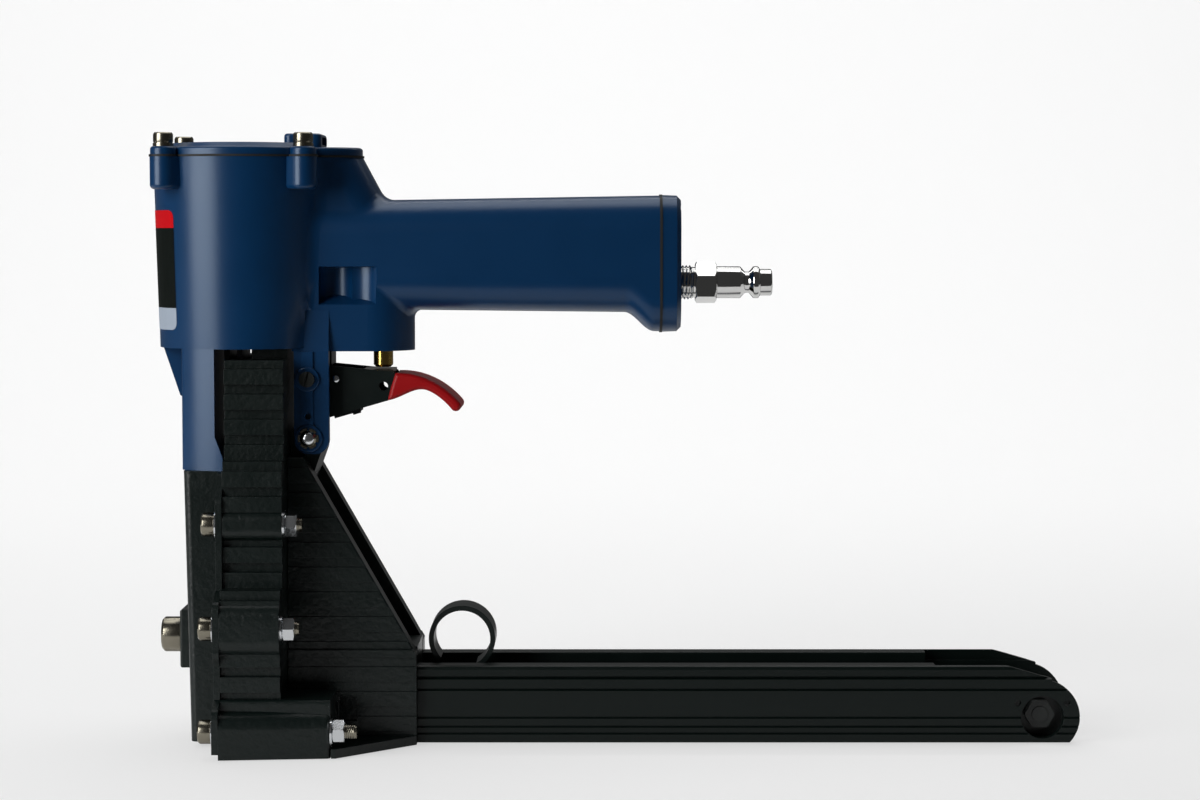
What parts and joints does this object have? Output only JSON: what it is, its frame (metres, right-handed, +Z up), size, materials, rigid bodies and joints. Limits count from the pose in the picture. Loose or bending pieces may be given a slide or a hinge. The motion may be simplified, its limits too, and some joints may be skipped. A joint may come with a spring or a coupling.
{
  "type": "pneumatic carton stapler",
  "caption": "Hand-held air stapler for closing cartons, with a barrel body, handle with air plug, lever trigger, ribbed clinch unit with swinging claws and a long open magazine.",
  "frame": {"origin": "on the floor under the cylinder axis, where the staple leaves the nose", "axes": "+X to the rear along the magazine and to the air plug, +Z up, -Y to the side seen in the picture"},
  "size_m": [0.3487, 0.1132, 0.228],
  "materials": {
    "blue_paint": "satin navy paint on cast aluminium",
    "black_paint": "satin black paint",
    "black_lever": "black oxide sheet steel",
    "black_anodised": "black anodised extrusion",
    "nickel": "nickel plated",
    "zinc": "zinc plated",
    "black_oxide": "black oxide",
    "chrome": "polished",
    "brass": "turned",
    "red_vinyl": "glossy dipped vinyl",
    "black_rubber": "matte",
    "tool_steel": "ground",
    "spring_steel": "bare spring steel",
    "cast_aluminium": "machined",
    "black_nylon": "moulded"
  },
  "bodies": {
    "frame": {"body_casting": "blue_paint", "cylinder_cap": "blue_paint", "handle_end_cap": "blue_paint", "front_cover": "black_paint", "clinch_housing_near": "black_paint", "clinch_housing_far": "black_paint", "side_frame_near": "black_paint", "side_frame_far": "black_paint", "clamp_block": "black_paint", "hanger_lug": "black_paint", "frame_bridge": "black_paint", "trigger_stop": "black_paint", "nose_plate": "black_paint", "nose_block": "black_paint", "magazine_rail": "black_anodised", "cap_screws": "nickel", "cap_washers": "nickel", "housing_bolts": "nickel", "end_cap_screws": "nickel", "clamp_bolt": "nickel", "push_nuts": "nickel", "housing_nuts": "zinc", "housing_washers": "zinc", "hanger_pin": "zinc", "end_nuts": "black_oxide", "end_bolt": "black_oxide", "trigger_pivot_screw": "black_oxide", "end_block": "black_oxide", "air_plug": "chrome", "valve_bush": "brass", "cap_gasket": "black_rubber", "handle_gasket": "black_rubber", "bumper": "black_rubber", "claw_pins": "tool_steel", "staple_core": "tool_steel", "return_spring": "spring_steel", "head_valve_spring": "spring_steel", "valve_spring": "spring_steel", "spring_band": "spring_steel", "cylinder_liner": "cast_aluminium"},
    "trigger": {"trigger_lever": "black_lever", "trigger_grip": "red_vinyl", "stem_pad": "nickel", "trigger_rivet": "zinc", "trigger_leaf": "black_lever"},
    "valve": {"valve_stem": "brass"},
    "piston_group": {"piston": "cast_aluminium", "piston_seal": "black_rubber", "driver_blade": "tool_steel", "push_bar_near": "tool_steel", "push_bar_far": "tool_steel", "push_bar_rivets": "tool_steel"},
    "claw_near": {"claw_near": "tool_steel"},
    "claw_far": {"claw_far": "tool_steel"},
    "head_valve": {"head_valve": "black_nylon"},
    "pusher": {"pusher_slide": "tool_steel", "pusher_loop": "black_lever"},
    "drum": {"spring_drum": "spring_steel"}
  },
  "joints": [
    {"name": "trigger_pull", "type": "hinge", "parent": "frame", "child": "trigger", "pos_m": [0.026, 0, 0.1364], "axis": [0, -1, 0], "range_deg": [0, 8], "stiffness_Nm_per_rad": 0.4, "springref_deg": -6.88, "deforming": ["valve_spring"]},
    {"name": "stem_lift", "type": "slide", "parent": "frame", "child": "valve", "axis": [0, 0, 1], "range_m": [0, 0.0039], "deforming": ["valve_spring"]},
    {"name": "piston_stroke", "type": "slide", "parent": "frame", "child": "piston_group", "axis": [0, 0, -1], "range_m": [0, 0.021], "stiffness_N_per_m": 400, "springref_m": -0.03, "deforming": ["return_spring"]},
    {"name": "claw_near_swing", "type": "hinge", "parent": "frame", "child": "claw_near", "pos_m": [0, -0.022, 0.024], "axis": [1, 0, 0], "range_deg": [0, 70]},
    {"name": "claw_far_swing", "type": "hinge", "parent": "frame", "child": "claw_far", "pos_m": [0, 0.022, 0.024], "axis": [-1, 0, 0], "range_deg": [0, 70]},
    {"name": "head_valve_lift", "type": "slide", "parent": "frame", "child": "head_valve", "axis": [0, 0, 1], "range_m": [0, 0.003], "stiffness_N_per_m": 600, "springref_m": -0.008, "deforming": ["head_valve_spring"]},
    {"name": "pusher_travel", "type": "slide", "parent": "frame", "child": "pusher", "axis": [1, 0, 0], "range_m": [0, 0.165], "stiffness_N_per_m": 6, "springref_m": -1, "deforming": ["spring_band"]},
    {"name": "drum_spin", "type": "hinge", "parent": "frame", "child": "drum", "pos_m": [0.3011, 0, 0.0096], "axis": [0, 1, 0], "range_deg": [0, 1130]}
  ],
  "couplings": [
    {"joint": "stem_lift", "follows": "trigger_pull", "m_per_rad": 0.027},
    {"joint": "claw_near_swing", "follows": "piston_stroke", "rad_per_m": 58.1},
    {"joint": "claw_far_swing", "follows": "piston_stroke", "rad_per_m": 58.1},
    {"joint": "drum_spin", "follows": "pusher_travel", "rad_per_m": 119}
  ]
}
